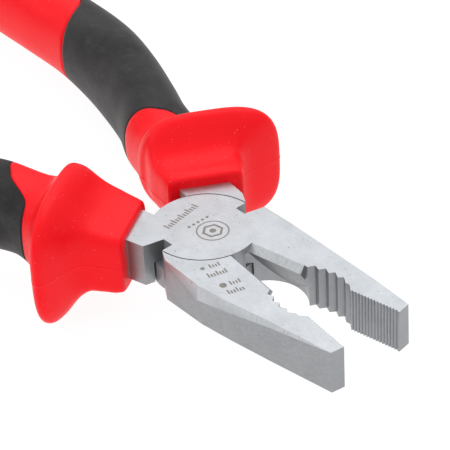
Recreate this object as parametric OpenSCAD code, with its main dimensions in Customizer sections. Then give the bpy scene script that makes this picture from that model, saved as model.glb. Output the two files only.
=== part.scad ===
// Combination (lineman) pliers: two forged steel halves on one flush rivet,
// each with a moulded two-colour grip that carries a finger guard.
// Frame: +X along the closed jaws to their tips, +Z up, origin on the pivot
// axis at the underside of the head. All sizes are in millimetres.

/* [Head] */
// Distance from the pivot axis to the jaw tips
jaw_len = 48; // [44:0.5:52]
// Thickness of the head
head_t = 9.7; // [9:0.1:11]
// Radius of the lap disc of each half
disc_r = 11.25; // [11:0.05:11.3]
// Width of one jaw at its tip
tip_w = 3; // [2.5:0.1:4]
// Half of the jaw opening angle at which the pliers are stored
rest_open = 8.84; // [2:0.01:12]

/* [Jaws] */
// Number of fine grooves in each gripping face
groove_count = 15; // [8:1:18]
// Depth of a fine groove
groove_depth = 0.35; // [0.2:0.05:0.5]
// Number of pipe-grip teeth in each jaw
tooth_count = 5; // [3:1:6]
// Height of the cutting edge above the underside of the head
edge_z = 8.16; // [7:0.01:9]
// Angle of the long blade bevel from vertical
bevel_angle = 32; // [20:1:36]

/* [Pivot] */
// Radius of the rivet's shaft
rivet_r = 4; // [3:0.1:5]
// Radius of the rivet's flush head
rivet_head_r = 6; // [5.5:0.1:7]
// Running clearance round the rivet and between the lapped faces
fit_gap = 0.05; // [0.03:0.01:0.08]

/* [Grips] */
// Distance from the pivot axis to the ends of the closed grips
grip_end = 132; // [125:1:145]
// Depth of the soft overmould in the sleeve
overmould_t = 1.6; // [1:0.1:2.2]
// Points round each grip section
section_points = 28; // [16:4:32]

/* [Hidden] */
$fn = 96;

mid_z = head_t / 2;
skin = 1.2; // steel left above the rivet's blind bore
rivet_head_t = 1.8;
recess_r = disc_r + 0.25; // clearance pocket for the other half's disc
rise = 1.7; // height of the grip's centre above the head's mid-plane
guard_lean = 22; // the guard and the grip's front face lean by this angle

// Jaw outline, as distances from the parting plane at a distance x from the pivot
lobe_x = 2.05; // where the jaw or the shank leaves the disc
lobe_y = 11.3;
shoulder_x = 4.9;
bend_x = 13.4; // where the two ground side facets meet
side_x = 12; // from here the side runs straight towards the tip
taper_x = 38; // from here to the tip both edges of the side are alike
shoulder_w = 12.6; // half widths of the head at the shoulder and at side_x
side_w = 11.85;
side_slope = 0.2385;
crease_start = 0.3; // height of the crease between the facets at the shoulder
crease_deep = 5.3; // its height where the facets meet
crease_out = 0.15; // the crease stands out from the side's line
far_in = 0.2; // the far edge lies in from it
taper_y = side_w - side_slope * (taper_x - side_x);
function mix(a, b, f) = a + (b - a) * f;
function side_y(x) = x < side_x
    ? mix(shoulder_w, side_w, (x - shoulder_x) / (side_x - shoulder_x))
    : x < taper_x ? side_w - side_slope * (x - side_x)
    : mix(taper_y, tip_w, (x - taper_x) / (jaw_len - taper_x));
function facet_in(x) = x < bend_x ? mix(0.1, 0.5, (x - shoulder_x) / (bend_x - shoulder_x))
    : 0.5 * max(0, (taper_x - x) / (taper_x - bend_x));
function crease_z(x) = x < bend_x
    ? mix(crease_start, crease_deep, (x - shoulder_x) / (bend_x - shoulder_x))
    : crease_deep * (1 - pow((x - bend_x) / (jaw_len - bend_x), 0.85)) + 0.05;

// Closed skin over rings of equal length, with flat ends
function ring_faces(rings, n) = [
    for (i = [0 : rings - 2], k = [0 : n - 1])
        [i * n + k, i * n + (k + 1) % n, (i + 1) * n + (k + 1) % n, (i + 1) * n + k]];
module loft(rings) {
    n = len(rings[0]);
    m = len(rings);
    polyhedron(points = [for (r = rings, p = r) p],
        faces = concat(ring_faces(m, n), [[for (k = [n - 1 : -1 : 0]) k]],
            [[for (k = [0 : n - 1]) (m - 1) * n + k]]));
}

// Outer side of the lower jaw: [distance from the pivot, edge at the outer face,
// crease, depth of the crease, edge at the far face]
lower_side = [
    [lobe_x, lobe_y, lobe_y, crease_start, lobe_y],
    [shoulder_x, 12.45, 12.55, crease_start, 12.6],
    [15.8, 11.65, 12.2, 3.3, 11.35],
    [22.8, 10.03, 10.45, 2.5, 9.76],
    [33.3, 6.85, 7.1, 1.45, 7.04],
    [jaw_len, tip_w + 0.05, tip_w + 0.1, 0.1, tip_w]];
upper_xs = concat([lobe_x, shoulder_x, bend_x], [for (i = [1 : 7]) mix(bend_x, jaw_len, i / 7)]);
function upper_section(x) =
    let (w = x < shoulder_x ? lobe_y : side_y(x), s = max(x, shoulder_x))
    [x, w - far_in, w + crease_out, crease_z(s), w - facet_in(s)];

// Upper half in the closed position, before the jaw details: disc in the upper
// level, jaw towards +Y, handle towards -Y
module jaw_block(sections) {
    loft([for (s = sections)
        [[s[0], 0, head_t], [s[0], s[4], head_t], [s[0], s[2], s[3]], [s[0], s[1], 0], [s[0], 0, 0]]]);
}
// The shank ends in a straight face, or with a lobe that follows the other disc
module shank(lobe) {
    end = lobe ? [[-shoulder_x, -12.55], [-lobe_x, -lobe_y]] : [[-5.7, -12.4], [-3.85, -8.1]];
    linear_extrude(head_t)
        polygon(concat([[-lobe_x, -3], [-13.7, -2.8], [-17.6, -5.6], [-14.2, -14.5], [-9.6, -12.65]], end));
}
// Milled slot between the disc and its jaw, or between the disc and its shank. Its
// floor slides over the other half's, so it keeps half the running clearance too
module notch() {
    translate([0, 0, mid_z - fit_gap / 2])
        linear_extrude(head_t)
            polygon([[1.25, 8.6], [3.85, 8.1], [5.7, 12.4], [6.2, 14], [1.7, 14], [1.65, 11.1]]);
}
module half_blank(jaw_notch) {
    difference() {
        union() {
            jaw_block(jaw_notch ? [for (x = upper_xs) upper_section(x)] : lower_side);
            shank(lobe = !jaw_notch);
            tang();
            translate([0, 0, mid_z + fit_gap / 2])
                cylinder(r = disc_r, h = mid_z - fit_gap / 2);
        }
        translate([0, 0, -1])
            cylinder(r = recess_r, h = mid_z + 1 + fit_gap / 2);
        if (jaw_notch) notch();
        rotate(180) notch();
    }
}

// What the jaws are cut with, for the jaw on the +Y side
edge_end = 24.3;
flat_x = 36.5;
edge_gap = 0.8; // from the end of the cutting edge to the first tooth
tooth_rise = 0.95; // length and depth of a tooth's steep flank
low_from = 34; // a tooth beyond here is shallow, to run out into the flat face
low_rise = 0.3; // its depth
tooth_pitch = (flat_x - edge_end - edge_gap) / tooth_count;
function crest_y(x) = 2.05 - 0.035 * pow(x - 30, 2);
module pipe_grip() {
    crests = [for (i = [0 : tooth_count - 1])
        let (x = edge_end + edge_gap + i * tooth_pitch) [x, crest_y(x)]];
    profile = [for (c = crests, j = [0, 1])
        let (x = c[0] + tooth_rise, rise_y = c[0] < low_from ? tooth_rise : low_rise)
        j == 0 ? c : [x, crest_y(x) + rise_y]];
    translate([0, 0, -1])
        linear_extrude(head_t + 2)
            polygon(concat([[edge_end, -1], [edge_end, 1.3]], profile, [[flat_x, 0], [flat_x, -1]]));
}
tip_land = 0.4; // plain strip between the last groove and the tip
groove_land = 0.04; // half of the plain strip between two grooves
module grip_grooves() {
    pitch = (jaw_len - tip_land - flat_x) / groove_count;
    translate([0, 0, -1])
        linear_extrude(head_t + 2)
            for (i = [0 : groove_count - 1])
                translate([flat_x + (i + 0.5) * pitch, 0])
                    polygon([[groove_land - pitch / 2, -0.02], [0, groove_depth],
                        [pitch / 2 - groove_land, -0.02]]);
}
// The round cutter that relieves the blade's long bevel
cutter_at = [18.4, -3.6];
cutter_r = 8.45;
module blade() {
    // short bevel down from the top face to the cutting edge, up to the disc
    top_in = 1.25;
    difference() {
        translate([edge_end, 0, 0])
            rotate([90, 0, -90])
                linear_extrude(edge_end - 8)
                    polygon([[1, edge_z], [0, edge_z], [-top_in, head_t], [-top_in, head_t + 1],
                        [1, head_t + 1]]);
        cylinder(r = disc_r, h = head_t + 2);
    }
    // long bevel below the edge, cut with a round cutter
    intersection() {
        translate([edge_end + 4, 0, 0])
            rotate([90, 0, -90])
                linear_extrude(edge_end)
                    polygon([[1, edge_z], [0, edge_z], [-(edge_z + 1) * tan(bevel_angle), -1], [1, -1]]);
        translate([cutter_at[0], cutter_at[1], -1]) cylinder(r = cutter_r, h = head_t);
    }
}
module jaw_cuts() {
    pipe_grip();
    grip_grooves();
    blade();
}

// Grip sections: [x, y, lean, half width, half height, squareness], for the grip
// on the +Y side of the closed pliers, from its front face to its end
grip_sections = [
    [-11.9, 8.1, guard_lean, 7.0, 5.9, 8],
    [-12.7, 8.5, guard_lean, 8.3, 7.0, 8],
    [-16.2, 9.5, guard_lean, 9.2, 7.4, 8],
    [-19.0, 10.4, guard_lean, 9.9, 8.2, 6],
    [-20.7, 12.1, guard_lean, 11.1, 9.8, 5],
    [-22.0, 14.9, guard_lean, 13.4, 12.6, 4.2],
    [-23.3, 16.4, guard_lean, 15.1, 14.0, 3.4],
    [-25.0, 16.8, guard_lean, 15.0, 13.9, 3.2],
    [-26.9, 15.9, guard_lean, 13.4, 11.6, 3],
    [-29.7, 14.5, guard_lean, 10.4, 9.1, 2.8],
    [-35.0, 14.1, 19, 8.6, 8.3, 2.6],
    [-42.5, 15.1, 14, 7.9, 9.4, 2.4],
    [-51.0, 17.7, 12, 7.6, 9.8, 2.3],
    [-63.0, 20.3, 8, 8.0, 9.9, 2.3],
    [-75.0, 21.9, 2, 8.3, 9.8, 2.3],
    [-88.0, 21.9, -4, 8.0, 9.5, 2.3],
    [-102, 20.4, -6, 7.8, 9.3, 2.3],
    [-117, 18.6, -3, 7.6, 9.0, 2.3],
    [3.5 - grip_end, 18.0, 0, 7.0, 8.1, 2.3],
    [0.8 - grip_end, 18.0, 0, 4.7, 5.4, 2.3],
    [0.0 - grip_end, 18.0, 0, 2.3, 2.6, 2.3]];
last_section = len(grip_sections) - 1;
guard_back = 9; // section index behind the guard
soft_last = 17; // section index of the last full section, behind the overmould

// Smooth blend between the sections at a fractional index u
function blend(u) =
    let (i = min(floor(u), last_section - 1), f = u - i,
        p0 = grip_sections[max(i - 1, 0)], p1 = grip_sections[i],
        p2 = grip_sections[i + 1], p3 = grip_sections[min(i + 2, last_section)])
    0.5 * (2 * p1 + (p2 - p0) * f + (2 * p0 - 5 * p1 + 4 * p2 - p3) * f * f
        + (3 * p1 - p0 - 3 * p2 + p3) * f * f * f);
// The upper half's grip starts a little under the head's mid-plane and rises towards
// the hand, and the lower half's falls as much
nose_drop = 0.4;
rise_from = -14;
rise_to = -36;
function grip_rise(x) = mix(-nose_drop, rise, min(1, max(0, (rise_from - x) / (rise_from - rise_to))));
function power(v, e) = sign(v) * pow(abs(v), e);
// The inner lower quarter of a boxy section is rounder than the rest:
// [squareness of the section, squareness of that quarter]
quarter_round = [[2.6, 2.6], [3, 1.8], [5, 1.8], [6, 2.1]];
function quarter(a, s) = a > 180 && a < 270 && s > 2.6 ? lookup(s, quarter_round) : s;
// Point on the grip at index u and angle a round the section (0 = outer side,
// 90 = top), a depth d under the surface, for a grip that rises (lift 1) or falls (-1)
function grip_point(u, a, d, lift) =
    let (s = blend(u), e = 2 / quarter(a, s[5]),
        t = (s[3] - d) * power(cos(a), e), z = (s[4] - d) * power(sin(a), e))
    [s[0] + t * sin(s[2]), s[1] + t * cos(s[2]), mid_z + lift * grip_rise(s[0]) + z];
angles = [for (k = [0 : section_points - 1]) 360 * k / section_points];
// Section index where the overmould starts: near the guard on the outer side, and
// further back where the sleeve reaches along the inner side
soft_near = 9.6;
soft_reach = 1.27;
soft_span = 106; // degrees to each side of the inner side
function soft_start(a) = soft_near + soft_reach * exp(-pow(abs(a - 180) / soft_span, 8));
// Section index where it ends: slanting back towards the top, with a step back on
// the outer side
soft_far = 14.58;
soft_slant = 0.28;
soft_step = 0.6;
step_span = 116;
function soft_end(a) = soft_far + soft_slant * (1 + cos(a))
    + soft_step * (1 - exp(-pow(abs(a - 180) / step_span, 10)));

body_steps = [for (i = [0 : 0.5 : guard_back - 0.5]) i];
soft_rings = 10;
module sleeve_skin(lift) {
    function ring(from, to, f, d) = [for (a = angles) grip_point(mix(from(a), to(a), f), a, d, lift)];
    front = function(a) guard_back;
    start = function(a) soft_start(a);
    stop = function(a) soft_end(a);
    back = function(a) soft_last;
    loft(concat(
        [for (u = body_steps) [for (a = angles) grip_point(u, a, 0, lift)]],
        [for (f = [0 : 1 / 3 : 1]) ring(front, start, f, 0)],
        [for (f = [0 : 1 / soft_rings : 1]) ring(start, stop, f, overmould_t)],
        [for (f = [0 : 1 / 4 : 1]) ring(stop, back, f, 0)],
        [for (u = [soft_last + 0.5 : 0.5 : last_section]) [for (a = angles) grip_point(u, a, 0, lift)]]));
}
module overmould_skin(lift) {
    function ring(f, d) = [for (a = angles) grip_point(mix(soft_start(a), soft_end(a), f), a, d, lift)];
    outer = [for (f = [0 : 1 / soft_rings : 1]) ring(f, 0)];
    inner = [for (f = [1 : -1 / soft_rings : 0]) ring(f, overmould_t)];
    rings = concat(outer, inner);
    n = section_points;
    m = len(rings);
    polyhedron(points = [for (r = rings, p = r) p],
        faces = [for (i = [0 : m - 1], k = [0 : n - 1])
            [i * n + k, i * n + (k + 1) % n, (i + 1) % m * n + (k + 1) % n, (i + 1) % m * n + k]]);
}
// Steel tang inside the grip, for the handle on the -Y side
tang_t = 6.5;
tang_from = 1.5; // first and last section index that the tang runs between
tang_to = 17;
tang_w = [4.4, 3]; // half width at its front and at its end
plain_w = 8.5; // half width of the grip, beyond which the guard only reaches outwards
module tang() {
    side = [for (u = [tang_from : 0.5 : tang_to])
        let (s = blend(u), w = mix(tang_w[0], tang_w[1], (u - tang_from) / (tang_to - tang_from))) [s, w]];
    centre_y = function(s) s[1] - max(0, s[3] - plain_w);
    translate([0, 0, mid_z - tang_t / 2])
        linear_extrude(tang_t)
            polygon(concat(
                [for (p = side) [p[0][0] + p[1] * sin(p[0][2]), -centre_y(p[0]) - p[1] * cos(p[0][2])]],
                [for (i = [len(side) - 1 : -1 : 0]) let (p = side[i])
                    [p[0][0] - p[1] * sin(p[0][2]), -centre_y(p[0]) + p[1] * cos(p[0][2])]]));
}

module place_upper() { rotate(rest_open) children(); }
module place_lower() { rotate(-rest_open) children(); }
module flip_lower() { translate([0, 0, head_t]) rotate([180, 0, 0]) children(); }

module upper_half() {
    color("lightgray") place_upper() difference() {
        half_blank(jaw_notch = true);
        jaw_cuts();
        translate([0, 0, -1]) cylinder(r = rivet_r, h = head_t + 1 - skin);
    }
}
module lower_half() {
    color("silver") place_lower() difference() {
        flip_lower() half_blank(jaw_notch = false);
        mirror([0, 1, 0]) jaw_cuts();
        translate([0, 0, -1]) cylinder(r = rivet_r + fit_gap, h = head_t + 2);
        translate([0, 0, -1]) cylinder(r = rivet_head_r + fit_gap, h = rivet_head_t + fit_gap + 1);
    }
}
module pivot_rivet() {
    color("gray") {
        cylinder(r = rivet_r, h = head_t - skin);
        cylinder(r = rivet_head_r, h = rivet_head_t);
    }
}
module upper_sleeve() {
    color("red") place_upper() difference() {
        mirror([0, 1, 0]) sleeve_skin(1);
        shank(lobe = false);
        tang();
    }
}
module lower_sleeve() {
    color("red") place_lower() difference() {
        sleeve_skin(-1);
        flip_lower() {
            shank(lobe = true);
            tang();
        }
    }
}
module upper_overmould() {
    color("dimgray") place_upper() mirror([0, 1, 0]) overmould_skin(1);
}
module lower_overmould() {
    color("dimgray") place_lower() overmould_skin(-1);
}

upper_half();
lower_half();
pivot_rivet();
upper_sleeve();
lower_sleeve();
upper_overmould();
lower_overmould();
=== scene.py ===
"""Looks of the combination pliers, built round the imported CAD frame.

The two steel halves and the rivet are the CAD nodes with fine bevels and a ground-steel
material. The four grip nodes are replaced by finer meshes of the same shapes.
"""

import math

import bmesh
import bpy
import numpy as np
from mathutils import Matrix, Vector


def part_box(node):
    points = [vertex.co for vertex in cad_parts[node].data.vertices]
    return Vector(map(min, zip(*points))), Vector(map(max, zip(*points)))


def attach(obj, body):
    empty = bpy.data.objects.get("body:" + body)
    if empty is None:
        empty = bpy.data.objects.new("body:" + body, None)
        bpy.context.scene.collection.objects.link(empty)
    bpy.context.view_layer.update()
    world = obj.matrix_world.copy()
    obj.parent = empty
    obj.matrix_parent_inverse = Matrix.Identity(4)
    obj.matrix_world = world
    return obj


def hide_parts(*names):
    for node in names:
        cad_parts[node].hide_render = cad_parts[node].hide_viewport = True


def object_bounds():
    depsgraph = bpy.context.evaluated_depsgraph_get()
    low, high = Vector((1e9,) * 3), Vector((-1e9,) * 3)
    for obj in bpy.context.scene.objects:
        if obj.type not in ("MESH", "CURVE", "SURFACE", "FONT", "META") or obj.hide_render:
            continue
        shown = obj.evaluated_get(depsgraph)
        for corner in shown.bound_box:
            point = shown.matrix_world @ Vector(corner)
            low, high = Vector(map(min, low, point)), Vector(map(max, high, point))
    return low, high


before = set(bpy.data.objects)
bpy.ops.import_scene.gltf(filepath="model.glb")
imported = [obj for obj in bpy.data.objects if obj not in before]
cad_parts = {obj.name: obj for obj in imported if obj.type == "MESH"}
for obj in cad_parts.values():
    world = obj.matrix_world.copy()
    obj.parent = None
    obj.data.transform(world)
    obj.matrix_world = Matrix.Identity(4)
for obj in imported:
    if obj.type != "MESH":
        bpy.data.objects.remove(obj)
cad_low, cad_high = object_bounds()

MM = 0.001
REST_OPEN = math.radians(8.84)  # half of the jaw opening at rest
HEAD_LOW, HEAD_HIGH = (corner.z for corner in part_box("upper_half"))
MID_Z = (HEAD_LOW + HEAD_HIGH) / 2
GRIP_END = 132.0  # from the pivot to the grip's end, closed

# ---------------------------------------------------------------- grip shape
# Sections of the grip on the +Y side of the closed pliers, from its front face to its
# end, in millimetres: [x, y, lean in degrees, half width, half height, squareness]
GUARD_LEAN = 22
GRIP_SECTIONS = np.array([
    [-11.9, 8.1, GUARD_LEAN, 7.0, 5.9, 8],
    [-12.7, 8.5, GUARD_LEAN, 8.3, 7.0, 8],
    [-16.2, 9.5, GUARD_LEAN, 9.2, 7.4, 8],
    [-19.0, 10.4, GUARD_LEAN, 9.9, 8.2, 6],
    [-20.7, 12.1, GUARD_LEAN, 11.1, 9.8, 5],
    [-22.0, 14.9, GUARD_LEAN, 13.4, 12.6, 4.2],
    [-23.3, 16.4, GUARD_LEAN, 15.1, 14.0, 3.4],
    [-25.0, 16.8, GUARD_LEAN, 15.0, 13.9, 3.2],
    [-26.9, 15.9, GUARD_LEAN, 13.4, 11.6, 3],
    [-29.7, 14.5, GUARD_LEAN, 10.4, 9.1, 2.8],
    [-35.0, 14.1, 19, 8.6, 8.3, 2.6],
    [-42.5, 15.1, 14, 7.9, 9.4, 2.4],
    [-51.0, 17.7, 12, 7.6, 9.8, 2.3],
    [-63.0, 20.3, 8, 8.0, 9.9, 2.3],
    [-75.0, 21.9, 2, 8.3, 9.8, 2.3],
    [-88.0, 21.9, -4, 8.0, 9.5, 2.3],
    [-102, 20.4, -6, 7.8, 9.3, 2.3],
    [-117, 18.6, -3, 7.6, 9.0, 2.3],
    [3.5 - GRIP_END, 18.0, 0, 7.0, 8.1, 2.3],
    [0.8 - GRIP_END, 18.0, 0, 4.7, 5.4, 2.3],
    [0.0 - GRIP_END, 18.0, 0, 2.3, 2.6, 2.3],
])
LAST = len(GRIP_SECTIONS) - 1
NOSE = 1  # section index of the grip's full front
GUARD_BACK = 9  # section index behind the guard
SOFT_LAST = 17  # section index of the last full section
OVERMOULD_T = 1.6  # thickness of the overmould
RISE = 1.7  # the grip's centre ends this far above or below the head's mid-plane
NOSE_DROP = 0.4  # and its nose starts this far the other way
RISE_FROM, RISE_TO = -14, -36  # x where it leaves the one height and where it reaches the other
ROUND_FROM = 2.6  # the inner lower quarter is rounder where a section is squarer than this
QUARTER_ROUND = ((ROUND_FROM, 3, 5, 6), (ROUND_FROM, 1.8, 1.8, 2.1))  # section's squareness, quarter's
SKIN = 0.14  # the meshes lie this far inside the CAD surface
SEAM_DEPTH = 0.16  # V-groove where the overmould meets the sleeve
SEAM_HALF = 0.22  # half of the groove's width
PARTING_H = 0.10  # height of the mould's parting line
PARTING_W = 0.016  # its width, as an angle in radians
PARTING_FROM, PARTING_FADE = -30, 4  # it runs forward from this x, and fades in over this length
ROUND_POINTS = 144  # points spread evenly round a section
NOSE_RIM = 0.9  # radius of the rounded front edge
# Numbers of rings along the stretches of a grip, from its nose to its end
NOSE_RINGS, EDGE_RINGS, GUARD_RINGS, NECK_RINGS = 8, 8, 80, 18
SOFT_RINGS, BED_RINGS, BACK_RINGS, TAIL_RINGS, END_RINGS = 80, 40, 26, 30, 6


def sections_at(u):
    """Section values at the fractional index u, on a smooth blend."""
    i = np.clip(np.floor(u).astype(int), 0, LAST - 1)
    f = (u - i)[..., None]
    p0, p1 = GRIP_SECTIONS[np.maximum(i - 1, 0)], GRIP_SECTIONS[i]
    p2, p3 = GRIP_SECTIONS[i + 1], GRIP_SECTIONS[np.minimum(i + 2, LAST)]
    return 0.5 * (2 * p1 + (p2 - p0) * f + (2 * p0 - 5 * p1 + 4 * p2 - p3) * f**2
                  + (3 * p1 - p0 - 3 * p2 + p3) * f**3)


def round_angles():
    """Angles round a section: even, with close pairs at the two parting lines."""
    even = np.arange(ROUND_POINTS) * 2 * math.pi / ROUND_POINTS
    near = np.array([-1.5, -1.0, -0.5, 0.5, 1.0, 1.5]) * PARTING_W
    return np.unique(np.round(np.concatenate([even, near % (2 * math.pi), math.pi + near]), 9))


ANGLES = round_angles()


def outline(section, depth):
    """Half-axis coordinates (t, z) of a section's outline at ANGLES, and its own angle."""
    n = section[..., 5]
    inner_low = (ANGLES > math.pi) & (ANGLES < 1.5 * math.pi)
    n = np.where(inner_low & (n > ROUND_FROM), np.interp(n, *QUARTER_ROUND), n)
    w, h = section[..., 3] - depth, section[..., 4] - depth
    cos, sin = np.cos(ANGLES), np.sin(ANGLES)
    radius = (np.abs(cos / w) ** n + np.abs(sin / h) ** n) ** (-1 / n)
    near_guard = np.clip((section[..., 0] - PARTING_FROM) / PARTING_FADE, 0, 1)
    radius = radius + PARTING_H * near_guard * (depth <= SKIN) * (
        np.exp(-(np.sin(ANGLES) / PARTING_W) ** 2))
    t, z = radius * cos, radius * sin
    own = np.arctan2(np.sign(z) * np.abs(z / h) ** (n / 2), np.sign(t) * np.abs(t / w) ** (n / 2))
    return t, z, np.degrees(own) % 360


def grip_ring(u, depth, lift, forward=0.0, shrink=1.0):
    """One ring of points on the +Y grip of the closed pliers, in millimetres."""
    u = np.broadcast_to(np.asarray(u, float), ANGLES.shape)
    s = sections_at(u)
    t, z, _ = outline(s, depth)
    t, z = t * shrink, z * shrink
    lean = np.radians(s[:, 2])
    back = np.clip((RISE_FROM - s[:, 0]) / (RISE_FROM - RISE_TO), 0, 1)
    rise = -NOSE_DROP + (RISE + NOSE_DROP) * back
    return np.stack([s[:, 0] + t * np.sin(lean) + forward * np.cos(lean),
                     s[:, 1] + t * np.cos(lean) - forward * np.sin(lean),
                     MID_Z / MM + lift * rise + z], axis=1)


def own_angles(u):
    """The section's own angle, in degrees, at each of ANGLES."""
    return outline(sections_at(np.full(ANGLES.shape, float(u))), SKIN)[2]


# The overmould starts near the guard on the outer side and further back where the sleeve
# reaches along the inner side. It ends slanting back, with a step on the outer side. Each
# edge is an index along the sections for each of ANGLES.
START_AT, START_REACH, START_SPAN = 9.6, 1.27, 106
STOP_AT, STOP_SLANT, STOP_STEP, STOP_SPAN = 14.58, 0.28, 0.6, 116
START_ANGLES, STOP_ANGLES = own_angles(10.2), own_angles(15)
SOFT_START = START_AT + START_REACH * np.exp(-(np.abs(START_ANGLES - 180) / START_SPAN) ** 8)
SOFT_STOP = STOP_AT + STOP_SLANT * (1 + np.cos(np.radians(STOP_ANGLES))) + STOP_STEP * (
    1 - np.exp(-(np.abs(STOP_ANGLES - 180) / STOP_SPAN) ** 10))


def step_of(u):
    """Change of index for a millimetre along the grip, at index u."""
    half = 0.05
    ahead, behind = sections_at(u + half), sections_at(u - half)
    return 2 * half / np.linalg.norm((ahead - behind)[..., :2], axis=-1)


def between(start, stop, count, depth, lift):
    """Rings at even steps from the index start to the index stop."""
    return [grip_ring(start + (stop - start) * k / count, depth, lift) for k in range(count + 1)]


def seam_rings(edge, direction, lift):
    """Rings that round the surface down into the groove at an edge of the overmould."""
    half = SEAM_HALF * step_of(edge) * direction
    return [grip_ring(edge + half * math.cos(q), SKIN + SEAM_DEPTH * math.sin(q), lift)
            for q in np.radians([0, 30, 60, 90])]


def sleeve_rings(lift):
    """The sleeve from nose to tail, sunk to the overmould's depth where that lies in it."""
    start_out = SOFT_START - SEAM_HALF * step_of(SOFT_START)
    stop_out = SOFT_STOP + SEAM_HALF * step_of(SOFT_STOP)
    rings = [grip_ring(NOSE, SKIN + NOSE_RIM, lift, forward=NOSE_RIM, shrink=k / NOSE_RINGS)
             for k in range(1, NOSE_RINGS)]
    for q in np.radians(np.linspace(90, 0, EDGE_RINGS)):
        inward, forward = NOSE_RIM * (1 - math.cos(q)), NOSE_RIM * math.sin(q)
        rings.append(grip_ring(NOSE, SKIN + inward, lift, forward=forward))
    rings += between(NOSE, GUARD_BACK, GUARD_RINGS, SKIN, lift)[1:]
    rings += between(GUARD_BACK, start_out, NECK_RINGS, SKIN, lift)[1:-1]
    rings += seam_rings(SOFT_START, -1, lift)
    rings += between(SOFT_START, SOFT_STOP, BED_RINGS, OVERMOULD_T, lift)
    rings += seam_rings(SOFT_STOP, 1, lift)[::-1]
    rings += between(stop_out, SOFT_LAST, BACK_RINGS, SKIN, lift)[1:]
    rings += between(SOFT_LAST, LAST, TAIL_RINGS, SKIN, lift)[1:]
    rings += [grip_ring(LAST, SKIN, lift, shrink=k / END_RINGS) for k in range(END_RINGS - 1, 0, -1)]
    return rings


def overmould_rings(lift):
    """The overmould: its outer face from front to back, then its inner face to the front again."""
    start_in = SOFT_START + SEAM_HALF * step_of(SOFT_START)
    stop_in = SOFT_STOP - SEAM_HALF * step_of(SOFT_STOP)
    return (seam_rings(SOFT_START, 1, lift)[::-1]
            + between(start_in, stop_in, SOFT_RINGS, SKIN, lift)[1:-1]
            + seam_rings(SOFT_STOP, -1, lift)
            + between(SOFT_STOP, SOFT_START, BED_RINGS, OVERMOULD_T, lift))


def linked(name, data):
    """A new object that holds data, in the scene."""
    obj = bpy.data.objects.new(name, data)
    bpy.context.scene.collection.objects.link(obj)
    return obj


def ring_mesh(name, rings, closed, side):
    """A skin over rings of points. side is 1 for the +Y grip and -1 for its mirror image."""
    n, m = len(ANGLES), len(rings)
    points = np.concatenate(rings) * MM
    points[:, 1] *= side
    turn = -side * REST_OPEN
    cos, sin = math.cos(turn), math.sin(turn)
    points[:, :2] = points[:, :2] @ np.array([[cos, sin], [-sin, cos]])
    faces = [(i * n + k, i * n + (k + 1) % n, (i + 1) % m * n + (k + 1) % n, (i + 1) % m * n + k)
             for i in range(m if closed else m - 1) for k in range(n)]
    verts = [tuple(p) for p in points]
    if not closed:
        for ring, first in ((0, True), (m - 1, False)):
            centre = points[ring * n:(ring + 1) * n].mean(axis=0)
            verts.append(tuple(centre))
            hub = len(verts) - 1
            for k in range(n):
                a, b = ring * n + k, ring * n + (k + 1) % n
                faces.append((hub, b, a) if first else (hub, a, b))
    mesh = bpy.data.meshes.new(name)
    mesh.from_pydata(verts, [], faces)
    work = bmesh.new()
    work.from_mesh(mesh)
    bmesh.ops.recalc_face_normals(work, faces=work.faces)
    work.to_mesh(mesh)
    work.free()
    mesh.shade_smooth()
    return linked(name, mesh)


# ---------------------------------------------------------------- materials
class Nodes:
    """Short calls for building a material's node tree."""

    def __init__(self, name):
        self.material = bpy.data.materials.new(name)
        self.material.use_nodes = True
        self.tree = self.material.node_tree
        self.shader = self.tree.nodes["Principled BSDF"]

    def add(self, kind, inputs=(), **settings):
        node = self.tree.nodes.new(kind)
        for key, value in settings.items():
            setattr(node, key, value)
        for key, value in dict(inputs).items():
            if isinstance(value, bpy.types.NodeSocket):
                self.tree.links.new(value, node.inputs[key])
            else:
                node.inputs[key].default_value = value
        return node

    def where(self, scale):
        """Object coordinates stretched by scale, in repeats per metre."""
        place = self.add("ShaderNodeTexCoord").outputs["Object"]
        return self.add("ShaderNodeMapping", {"Vector": place, "Scale": scale}).outputs[0]

    def noise(self, scale, detail=4, rough=0.55):
        where = self.where(scale if isinstance(scale, tuple) else (scale,) * 3)
        return self.add("ShaderNodeTexNoise", {"Vector": where, "Scale": 1.0, "Detail": detail,
                                               "Roughness": rough}).outputs["Fac"]

    def ramp(self, value, low, high, start=0.0, end=1.0):
        """value from low..high, as start..end, clamped."""
        return self.add("ShaderNodeMapRange", {"Value": value, "From Min": low, "From Max": high,
                                               "To Min": start, "To Max": end}).outputs[0]

    def mix(self, factor, a, b):
        node = self.add("ShaderNodeMix", data_type="RGBA")
        for socket, value in ((node.inputs[0], factor), (node.inputs[6], a), (node.inputs[7], b)):
            if isinstance(value, bpy.types.NodeSocket):
                self.tree.links.new(value, socket)
            else:
                socket.default_value = value
        return node.outputs[2]

    def math(self, operation, a, b=0.0):
        return self.add("ShaderNodeMath", {0: a, 1: b}, operation=operation).outputs[0]

    def share(self, value, amount):
        """A part of value, for a mix factor."""
        return self.math("MULTIPLY", value, amount)

    def band(self, value, rise, fall):
        """1 where value is past the rise and not yet at the fall, with soft ends."""
        return self.math("MULTIPLY", self.ramp(value, *rise), self.ramp(value, *fall))

    def bump(self, height, strength, distance, normal=None):
        inputs = {"Height": height, "Strength": strength, "Distance": distance}
        if normal is not None:
            inputs["Normal"] = normal
        return self.add("ShaderNodeBump", inputs).outputs[0]

    def set(self, **values):
        for key, value in values.items():
            socket = self.shader.inputs[key.replace("_", " ")]
            if isinstance(value, bpy.types.NodeSocket):
                self.tree.links.new(value, socket)
            else:
                socket.default_value = value


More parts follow.
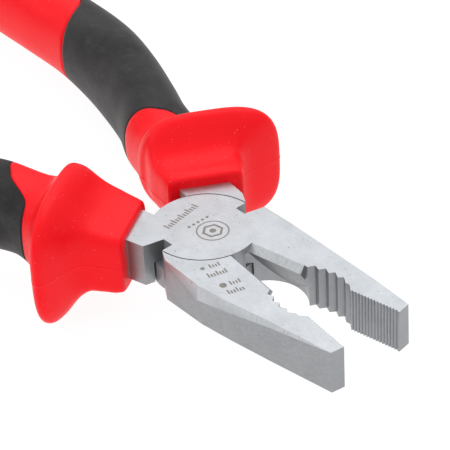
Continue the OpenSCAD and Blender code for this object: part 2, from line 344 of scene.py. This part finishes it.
def ground_steel(name, tint=1.0):
    """Satin ground steel: crossed grinding lines, cloudy tone, dark specks in the pores, with painted
    shade on the upright and downward faces and painted light on the sloping facets.
    """
    n = Nodes(name)
    normal = n.add("ShaderNodeSeparateXYZ", {0: n.add("ShaderNodeNewGeometry").outputs["Normal"]})
    up = normal.outputs["Z"]
    # full on the upright faces and those that lean over, and gone on the level ones
    tilt = n.add("ShaderNodeValToRGB", {"Fac": n.ramp(up, -1, 1)})
    stops = tilt.color_ramp.elements
    stops[0].position, stops[0].color = 0.15, (0, 0, 0, 1)
    stops[1].position, stops[1].color = 0.24, (1, 1, 1, 1)
    for place, value in ((0.525, 1.0), (0.575, 0.12), (0.72, 0.0)):
        stops.new(place).color = (value, value, value, 1)
    side = tilt.outputs["Color"]
    lines = n.noise((700, 5200, 2600), detail=4, rough=0.65)
    cross = n.noise((2800, 1500, 300), detail=3, rough=0.6)
    cloud = n.noise(190, detail=5, rough=0.6)
    speck = n.ramp(n.noise(1500, detail=2, rough=0.5), 0.715, 0.76)
    # grinding lines, which run another way on the upright faces, under a cloudy tone
    light = (0.555 * tint, 0.575 * tint, 0.60 * tint, 1)
    dark = (0.37 * tint, 0.39 * tint, 0.415 * tint, 1)
    grain = n.mix(side, n.ramp(lines, 0.3, 0.7), n.ramp(cross, 0.3, 0.7))
    tone = n.mix(n.share(grain, 0.5), light, dark)
    tone = n.mix(n.ramp(cloud, 0.35, 0.75, 0, 0.35), tone, dark)
    # painted shade: the upright faces are darker
    flank_light, flank_dark = (0.305, 0.31, 0.32, 1), (0.245, 0.25, 0.26, 1)
    painted_flank_shade = n.mix(n.ramp(lines, 0.35, 0.65), flank_light, flank_dark)
    tone = n.mix(n.share(side, 0.8), tone, painted_flank_shade)
    # the sloping facets keep the belt's marks, across the jaw, on a lighter tone that is painted light
    # from above
    lit_belt_light, lit_belt_dark = (0.66, 0.68, 0.70, 1), (0.45, 0.465, 0.485, 1)
    belt = n.ramp(n.noise((5200, 420, 420), detail=3, rough=0.6), 0.42, 0.62)
    facet = n.band(up, (0.10, 0.2), (0.93, 0.85))
    tone = n.mix(n.share(facet, 0.6), tone, n.mix(belt, lit_belt_light, lit_belt_dark))
    # painted shade on the slopes that face down; dark specks in the pores are darkest
    undercut_shade_colour, speck_dark = (0.10, 0.102, 0.107, 1), (0.10, 0.095, 0.09, 1)
    painted_undercut_shade = n.band(up, (-0.2, -0.45), (-0.75, -0.6))
    tone = n.mix(n.share(painted_undercut_shade, 0.5), tone, undercut_shade_colour)
    tone = n.mix(n.share(speck, 0.75), tone, speck_dark)
    scratches = n.bump(n.mix(side, lines, cross), 0.35, 0.03 * MM)
    n.set(Base_Color=tone, Metallic=0.9, Roughness=n.ramp(cloud, 0.3, 0.7, 0.34, 0.46), IOR=2.2,
          Normal=n.bump(speck, 0.5, -0.03 * MM, scratches))
    return n.material


def worn_edge_highlight():
    """Broken edges of the steel: a painted highlight along them, polished brighter in places."""
    n = Nodes("worn_edge_highlight")
    patch = n.noise(700, detail=4, rough=0.65)
    tone = n.mix(n.ramp(patch, 0.35, 0.65), (0.47, 0.48, 0.50, 1), (0.74, 0.75, 0.77, 1))
    n.set(Base_Color=tone, Metallic=0.9, IOR=2.2, Roughness=n.ramp(patch, 0.3, 0.7, 0.42, 0.30),
          Normal=n.bump(n.noise(2400, detail=2), 0.2, 0.02 * MM))
    return n.material


def red_plastic():
    """Slightly glossy moulded plastic with a faint orange peel, dust and light nicks."""
    n = Nodes("red_plastic")
    cloud = n.noise(60, detail=4)
    peel = n.noise(1300, detail=2)
    dust = n.ramp(n.noise(2300, detail=1), 0.755, 0.79)
    worn = n.ramp(n.noise((420, 900, 420), detail=5, rough=0.7), 0.735, 0.78)
    base = n.mix(n.ramp(cloud, 0.3, 0.7), (1.0, 0.003, 0.011, 1), (0.93, 0.002, 0.008, 1))
    base = n.mix(n.share(worn, 0.35), base, (0.86, 0.12, 0.12, 1))
    base = n.mix(n.share(dust, 0.5), base, (0.88, 0.42, 0.40, 1))
    n.set(Base_Color=base, Roughness=n.ramp(peel, 0.3, 0.7, 0.36, 0.44), Specular_IOR_Level=0.18,
          Subsurface_Weight=0.04, Subsurface_Scale=2 * MM, Normal=n.bump(peel, 0.10, 0.04 * MM))
    return n.material


def soft_black():
    """Matte charcoal soft-touch overmould with a fine skin and a little dust."""
    n = Nodes("soft_black")
    cloud = n.noise(80, detail=5, rough=0.6)
    skin = n.noise(2600, detail=2)
    dust = n.ramp(n.noise(1900, detail=2), 0.74, 0.78)
    base = n.mix(n.ramp(cloud, 0.32, 0.68), (0.003, 0.003, 0.0034, 1), (0.032, 0.031, 0.032, 1))
    rubbed = n.ramp(n.noise((260, 420, 420), detail=6, rough=0.7), 0.52, 0.72)
    base = n.mix(n.share(rubbed, 0.5), base, (0.050, 0.049, 0.050, 1))
    base = n.mix(n.share(dust, 0.55), base, (0.22, 0.215, 0.21, 1))
    n.set(Base_Color=base, Roughness=n.ramp(skin, 0.3, 0.7, 0.54, 0.66), Specular_IOR_Level=0.26,
          Sheen_Weight=0.12, Sheen_Roughness=0.45, Normal=n.bump(skin, 0.22, 0.05 * MM))
    return n.material


def etched_grey():
    """Laser-annealed marks: dull brown-grey with a mottled edge."""
    n = Nodes("etched_grey")
    mottle = n.noise(2600, detail=3)
    base = n.mix(n.ramp(mottle, 0.3, 0.7), (0.20, 0.175, 0.155, 1), (0.30, 0.275, 0.255, 1))
    n.set(Base_Color=base, Metallic=0.4, Roughness=n.ramp(mottle, 0.3, 0.7, 0.5, 0.65))
    return n.material


# ---------------------------------------------------------------- steel
WELD_WITHIN = 0.002  # the CAD mesh's points closer than this are joined
FLAT_BELOW = 0.8  # facets that meet at less than this many degrees are merged
SMOOTH_BELOW = 7  # edges of less than this many degrees are shaded smooth
BREAK_ABOVE = 9  # edges of more than this many degrees are broken
EDGE_WIDTH = 0.13  # width of a broken edge


def shade_by_angle():
    """Geometry nodes that smooth all but the crisp edges."""
    group = bpy.data.node_groups.new("shade_by_angle", "GeometryNodeTree")
    group.interface.new_socket("Geometry", in_out="INPUT", socket_type="NodeSocketGeometry")
    group.interface.new_socket("Geometry", in_out="OUTPUT", socket_type="NodeSocketGeometry")
    nodes, links = group.nodes, group.links
    start, stop = nodes.new("NodeGroupInput"), nodes.new("NodeGroupOutput")
    angle = nodes.new("GeometryNodeInputMeshEdgeAngle")
    sharp = nodes.new("FunctionNodeCompare")
    sharp.operation = "LESS_THAN"
    sharp.inputs[1].default_value = math.radians(SMOOTH_BELOW)
    links.new(angle.outputs["Unsigned Angle"], sharp.inputs[0])
    faces = nodes.new("GeometryNodeSetShadeSmooth")
    faces.domain = "FACE"
    edges = nodes.new("GeometryNodeSetShadeSmooth")
    edges.domain = "EDGE"
    links.new(start.outputs[0], faces.inputs["Geometry"])
    links.new(faces.outputs[0], edges.inputs["Geometry"])
    links.new(sharp.outputs[0], edges.inputs["Shade Smooth"])
    links.new(edges.outputs[0], stop.inputs[0])
    return group


def dress_steel(node, material, worn, smooth):
    """Gives a CAD steel node fine broken edges and its material."""
    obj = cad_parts[node]
    weld = obj.modifiers.new("weld", "WELD")
    weld.merge_threshold = WELD_WITHIN * MM
    flat = obj.modifiers.new("flat", "DECIMATE")
    flat.decimate_type = "DISSOLVE"
    flat.angle_limit = math.radians(FLAT_BELOW)
    bevel = obj.modifiers.new("bevel", "BEVEL")
    bevel.width = EDGE_WIDTH * MM
    bevel.segments = 2
    bevel.limit_method = "ANGLE"
    bevel.angle_limit = math.radians(BREAK_ABOVE)
    bevel.use_clamp_overlap = True
    # the broken edges take the second material: wear and a painted highlight
    bevel.material = 1
    shade = obj.modifiers.new("shade", "NODES")
    shade.node_group = smooth
    obj.data.materials.clear()
    obj.data.materials.append(material)
    obj.data.materials.append(worn)


# ---------------------------------------------------------------- etched marks
ETCH_H = 0.012  # height of a mark above the steel
ETCH_ROOT = 0.02  # depth of a mark's hidden foot


def axes(turn):
    """Unit vectors along a direction and to its left."""
    return Vector((math.cos(turn), math.sin(turn))), Vector((-math.sin(turn), math.cos(turn)))


def circle(centre, radius, sides, turn=0.0):
    angles = [turn + 2 * math.pi * k / sides for k in range(sides)]
    return [(centre[0] + radius * math.cos(q), centre[1] + radius * math.sin(q)) for q in angles]


class Marks:
    """Thin plates on the head's top face, drawn in millimetres round the tool's own axes."""

    def __init__(self):
        self.work = bmesh.new()

    def loop(self, outer, inner=None):
        """A filled outline, or a band between two outlines of equal length."""
        low, high = HEAD_HIGH / MM - ETCH_ROOT, HEAD_HIGH / MM + ETCH_H
        rings = [outer] if inner is None else [outer, inner]
        verts = [[[self.work.verts.new((x * MM, y * MM, z * MM)) for x, y in r] for r in rings]
                 for z in (low, high)]
        bottom, top = verts
        count = len(outer)
        for k in range(count):
            j = (k + 1) % count
            for low_ring, high_ring in zip(bottom, top):
                self.work.faces.new((low_ring[k], low_ring[j], high_ring[j], high_ring[k]))
            if inner is not None:
                for level in verts:
                    self.work.faces.new((level[0][k], level[0][j], level[1][j], level[1][k]))
        if inner is None:
            self.work.faces.new(bottom[0])
            self.work.faces.new(top[0])

    def bar(self, centre, turn, length, width):
        run, out = axes(turn)
        a, b, c = run * length / 2, out * width / 2, Vector(centre)
        self.loop([c - a - b, c + a - b, c + a + b, c - a + b])

    def ring(self, centre, radius, width, sides=48, turn=0.0):
        self.loop(circle(centre, radius, sides, turn), circle(centre, radius - width, sides, turn))

    def dot(self, centre, radius):
        self.loop(circle(centre, radius, 32))

    def ticks(self, start, turn, count, pitch, long_tick, short_tick, width):
        """A plain row of ticks, every third one long."""
        run, out = axes(turn)
        for k in range(count):
            tick = long_tick if k % 3 == 0 else short_tick
            middle = Vector(start) + run * (k * pitch) + out * (tick / 2)
            self.bar(middle, turn + math.pi / 2, tick, width)

    def piece(self, name, body, material):
        bmesh.ops.recalc_face_normals(self.work, faces=self.work.faces)
        mesh = bpy.data.meshes.new(name)
        self.work.to_mesh(mesh)
        self.work.free()
        mesh.materials.append(material)
        obj = linked(name, mesh)
        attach(obj, body)


# ---------------------------------------------------------------- stage and light
def stage():
    """A pale floor under the tool, in an even studio that is darker towards the horizon."""
    size, low = 3.0, cad_low.z
    mesh = bpy.data.meshes.new("floor")
    mesh.from_pydata([(-size, -size, low), (size, -size, low), (size, size, low), (-size, size, low)],
                     [], [(0, 1, 2, 3)])
    floor = linked("floor", mesh)
    n = Nodes("floor")
    n.set(Base_Color=(0.16, 0.16, 0.16, 1), Roughness=0.9, Specular_IOR_Level=0.1,
          Emission_Color=(1, 1, 1, 1), Emission_Strength=0.92)
    mesh.materials.append(n.material)
    world = bpy.data.worlds.new("studio")
    bpy.context.scene.world = world
    world.use_nodes = True
    tree = world.node_tree
    up = tree.nodes.new("ShaderNodeSeparateXYZ")
    tree.links.new(tree.nodes.new("ShaderNodeTexCoord").outputs["Generated"], up.inputs[0])
    sky = tree.nodes.new("ShaderNodeValToRGB")
    tree.links.new(up.outputs["Z"], sky.inputs["Fac"])
    tree.links.new(sky.outputs["Color"], tree.nodes["Background"].inputs["Color"])
    ramp = sky.color_ramp.elements
    ramp[0].position, ramp[0].color = 0.0, (0.34, 0.34, 0.35, 1)
    ramp[1].position, ramp[1].color = 0.55, (0.97, 0.98, 0.98, 1)
    tree.nodes["Background"].inputs["Strength"].default_value = 0.98


def softbox(name, place, size, power):
    """A soft white light that faces the pivot."""
    data = bpy.data.lights.new(name, "AREA")
    data.shape = "RECTANGLE"
    data.size, data.size_y = size
    data.energy = power
    lamp = linked(name, data)
    lamp.location = place
    lamp.rotation_mode = "QUATERNION"
    lamp.rotation_quaternion = (-Vector(place)).to_track_quat("-Z", "Y")


def camera():
    """The camera looks down past the jaws, from the +X, -Y side."""
    azimuth, elevation, roll = (math.radians(v) for v in (-40.445, 35.769, -3.114))
    distance, aim = 490.54 * MM, Vector((-7.598, 11.934, 0)) * MM
    back = Vector((math.cos(elevation) * math.cos(azimuth), math.cos(elevation) * math.sin(azimuth),
                   math.sin(elevation)))
    right = Vector((-math.sin(azimuth), math.cos(azimuth), 0))
    up = back.cross(right)
    turned_right = math.cos(roll) * right + math.sin(roll) * up
    turned_up = -math.sin(roll) * right + math.cos(roll) * up
    data = bpy.data.cameras.new("camera")
    data.sensor_width, data.lens = 36, 188.56
    data.clip_start, data.clip_end = 0.02, 20
    cam = linked("camera", data)
    turn = Matrix((turned_right, turned_up, back)).transposed().to_4x4()
    cam.matrix_world = Matrix.Translation(aim + back * distance) @ turn
    bpy.context.scene.camera = cam


# ---------------------------------------------------------------- assembly
def build_grips():
    red, black = red_plastic(), soft_black()
    for half, body, side, lift in (("upper", "upper_side", -1, 1), ("lower", "lower_side", 1, -1)):
        sleeve = ring_mesh(half + "_grip_sleeve", sleeve_rings(lift), False, side)
        sleeve.data.materials.append(red)
        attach(sleeve, body)
        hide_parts(half + "_sleeve")
        soft = ring_mesh(half + "_grip_overmould", overmould_rings(lift), True, side)
        soft.data.materials.append(black)
        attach(soft, body)
        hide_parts(half + "_overmould")


def build_steel():
    smooth = shade_by_angle()
    # worn is the edge material, with wear and a painted highlight
    steel, worn = ground_steel("steel"), worn_edge_highlight()
    dress_steel("upper_half", steel, worn, smooth)
    dress_steel("lower_half", steel, worn, smooth)
    dress_steel("pivot_rivet", ground_steel("rivet_steel", 0.9), worn, smooth)


def build_marks():
    """A plain ring and hexagon with ticks on the disc, and wire-size dots on the jaw."""
    etched = etched_grey()
    disc = Marks()
    emblem = Vector((2.3, 0.2))
    disc.ring(emblem, 3.4, 0.3)
    disc.ring(emblem, 2.3, 0.55, sides=6, turn=math.radians(10))
    disc.dot(emblem, 0.7)
    disc.ticks((-4.43, -5.33), math.radians(99.7), 13, 0.75, 1.7, 1.1, 0.38)
    for k in range(5):
        disc.dot((-2.0, -2.3 + 1.2 * k), 0.34)
    disc.piece("etched_marks_disc", "upper_side", etched)
    jaw = Marks()
    turn, pitch = math.radians(72), 0.62
    run, out = axes(turn)
    # for each of the two wire sizes: a dotted row, then a plain row of count ticks
    for dotted, wire, plain, count in (((11.4, -8.3), 0.45, (14.1, -8.9), 7),
                                       ((18.3, -9.1), 0.75, (20.7, -10.0), 6)):
        row = Vector(dotted)
        jaw.dot(row - run * 1.7 + out * 0.6, wire)
        jaw.ticks(row - run * 0.1, turn, 4, pitch, 1.3, 0.9, 0.32)
        start = Vector(plain) - run * (count - 1) * (pitch / 2)
        jaw.ticks(start, turn, count, pitch, 1.5, 1.0, 0.34)
    jaw.piece("etched_marks_jaw", "lower_side", etched)


build_grips()
build_steel()
build_marks()
stage()
softbox("key", (-0.25, 0.45, 0.85), (0.9, 0.7), 2.3)
softbox("fill", (0.65, -0.75, 0.35), (0.8, 0.5), 0.5)
softbox("rim", (-0.6, -0.5, 0.5), (0.5, 0.5), 0.6)
camera()
bpy.context.scene.view_settings.view_transform = "Standard"
